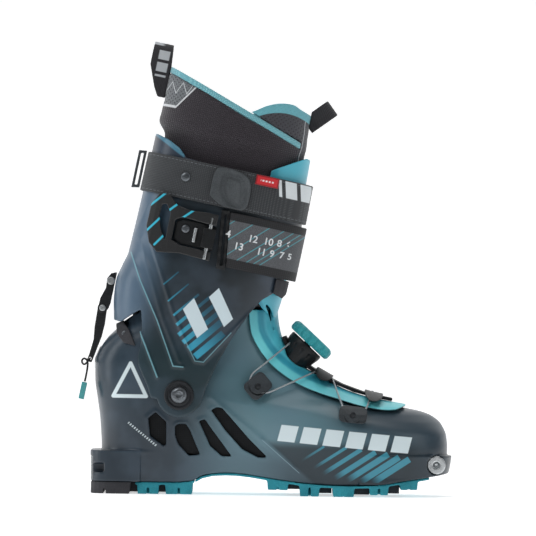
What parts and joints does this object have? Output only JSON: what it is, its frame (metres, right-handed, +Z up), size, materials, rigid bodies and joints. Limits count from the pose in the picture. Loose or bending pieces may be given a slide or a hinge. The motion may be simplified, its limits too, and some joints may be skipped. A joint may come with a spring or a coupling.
{
  "type": "alpine touring boot",
  "caption": "Right alpine touring ski boot: hinged cuff on a moulded shell, padded liner, power strap, lever buckle, lace dial and rear ski/walk lever.",
  "frame": {"origin": "on the floor, straight below the ankle pivot and midway between the two sides of the shell", "axes": "+X towards the toe, +Y towards the inner side of the leg, +Z up the leg"},
  "size_m": [0.3072, 0.1203, 0.3717],
  "materials": {
    "shell_plastic": "satin, pale blue-grey",
    "cuff_plastic": "satin, dark blue-grey",
    "tongue_plastic": "satin, teal",
    "core_plastic": "woven fibre under a matt skin",
    "sole_rubber": "matt, teal",
    "black_rubber": "matt, black",
    "insert_steel": "satin",
    "dark_steel": "dark satin",
    "black_plastic": "satin, black",
    "grey_plastic": "matt, dark grey",
    "knob_plastic": "satin, teal",
    "lace_wire": "coated wire",
    "liner_cloth": "fine mesh over foam, near black",
    "collar_cloth": "soft knit over foam, pale teal",
    "board_foam": "closed-cell foam, dark",
    "strap_webbing": "coated webbing, charcoal",
    "loop_webbing": "narrow webbing, black",
    "strap_rubber": "moulded, ribbed",
    "red_tag": "printed tape, red",
    "cord_fibre": "braided cord, black",
    "tab_rubber": "soft, teal"
  },
  "bodies": {
    "shell": {"lower_shell": "shell_plastic", "core_insert_lateral": "core_plastic", "core_insert_medial": "core_plastic", "forefoot_sole": "sole_rubber", "heel_sole": "sole_rubber", "heel_strike_pad": "black_rubber", "toe_insert": "insert_steel", "heel_insert": "insert_steel", "boot_board": "board_foam", "liner": "liner_cloth", "insole": "board_foam", "shell_tongue": "tongue_plastic", "tongue_spine": "black_plastic", "dial_base": "black_plastic", "lace_lateral": "lace_wire", "lace_medial": "lace_wire", "wire_guide_upper_lateral": "grey_plastic", "wire_guide_lower_lateral": "grey_plastic", "wire_guide_upper_medial": "grey_plastic", "wire_guide_lower_medial": "grey_plastic", "heel_bumper_lateral": "black_rubber", "heel_bumper_medial": "black_rubber", "lock_plate": "insert_steel", "pivot_nut_lateral": "dark_steel", "pivot_washer_lateral": "dark_steel", "pivot_bolt_lateral": "dark_steel", "pivot_nut_medial": "dark_steel", "pivot_washer_medial": "dark_steel", "pivot_bolt_medial": "dark_steel"},
    "cuff": {"cuff": "cuff_plastic", "liner_collar": "collar_cloth", "liner_tongue": "liner_cloth", "power_strap": "strap_webbing", "strap_buckle": "strap_rubber", "reflector_tag": "red_tag", "strap_rivet": "dark_steel", "lower_strap": "strap_webbing", "shin_flap": "black_rubber", "strap_anchor_rivet_upper": "insert_steel", "strap_anchor_rivet_lower": "insert_steel", "buckle_pin": "insert_steel", "buckle_base": "black_plastic", "buckle_screw": "dark_steel", "buckle_catch_pin": "insert_steel", "lever_bracket": "black_plastic", "bracket_rivet": "insert_steel", "lever_pin": "insert_steel", "rear_pull_loop": "loop_webbing", "front_pull_loop": "loop_webbing"},
    "walk_lever": {"walk_lever": "black_plastic"},
    "pull_tab": {"pull_tab": "tab_rubber", "pull_cord": "cord_fibre"},
    "buckle_lever": {"buckle_lever": "black_plastic"},
    "strap_frame": {"strap_frame": "black_plastic"},
    "strap_ring": {"strap_ring": "dark_steel"},
    "dial_carrier": {"dial_spindle": "dark_steel"},
    "dial_knob": {"dial_knob": "knob_plastic"}
  },
  "joints": [
    {"name": "cuff_pivot", "type": "hinge", "parent": "shell", "child": "cuff", "pos_m": [0, 0, 0.0815], "axis": [0, 1, 0], "range_deg": [-26, 26], "deforming": ["liner", "shell_tongue", "liner_tongue"]},
    {"name": "walk_lever_pivot", "type": "hinge", "parent": "cuff", "child": "walk_lever", "pos_m": [-0.06428, 0, 0.15172], "axis": [0, 1, 0], "range_deg": [0, 135]},
    {"name": "pull_tab_swing", "type": "hinge", "parent": "walk_lever", "child": "pull_tab", "pos_m": [-0.07409, -0.0069, 0.10993], "axis": [0, 1, 0], "range_deg": [-5, 120]},
    {"name": "buckle_lever_pivot", "type": "hinge", "parent": "cuff", "child": "buckle_lever", "pos_m": [0.0223, -0.0579, 0.2096], "axis": [0.1942, 0, 0.981], "range_deg": [0, 150]},
    {"name": "strap_frame_swing", "type": "hinge", "parent": "cuff", "child": "strap_frame", "pos_m": [0.0362, -0.0562, 0.18402], "axis": [0.0736, -0.034, 0.9967], "range_deg": [0, 15]},
    {"name": "strap_ring_swing", "type": "hinge", "parent": "cuff", "child": "strap_ring", "pos_m": [-0.03346, -0.0099, 0.26503], "axis": [0.1942, 0, 0.981], "range_deg": [-25, 25]},
    {"name": "dial_pull", "type": "slide", "parent": "shell", "child": "dial_carrier", "axis": [0.678, 0, 0.735], "range_m": [0, 0.003]},
    {"name": "dial_turn", "type": "hinge", "parent": "dial_carrier", "child": "dial_knob", "pos_m": [0.108, 0, 0.1279], "axis": [0.678, 0, 0.735], "continuous": true}
  ]
}
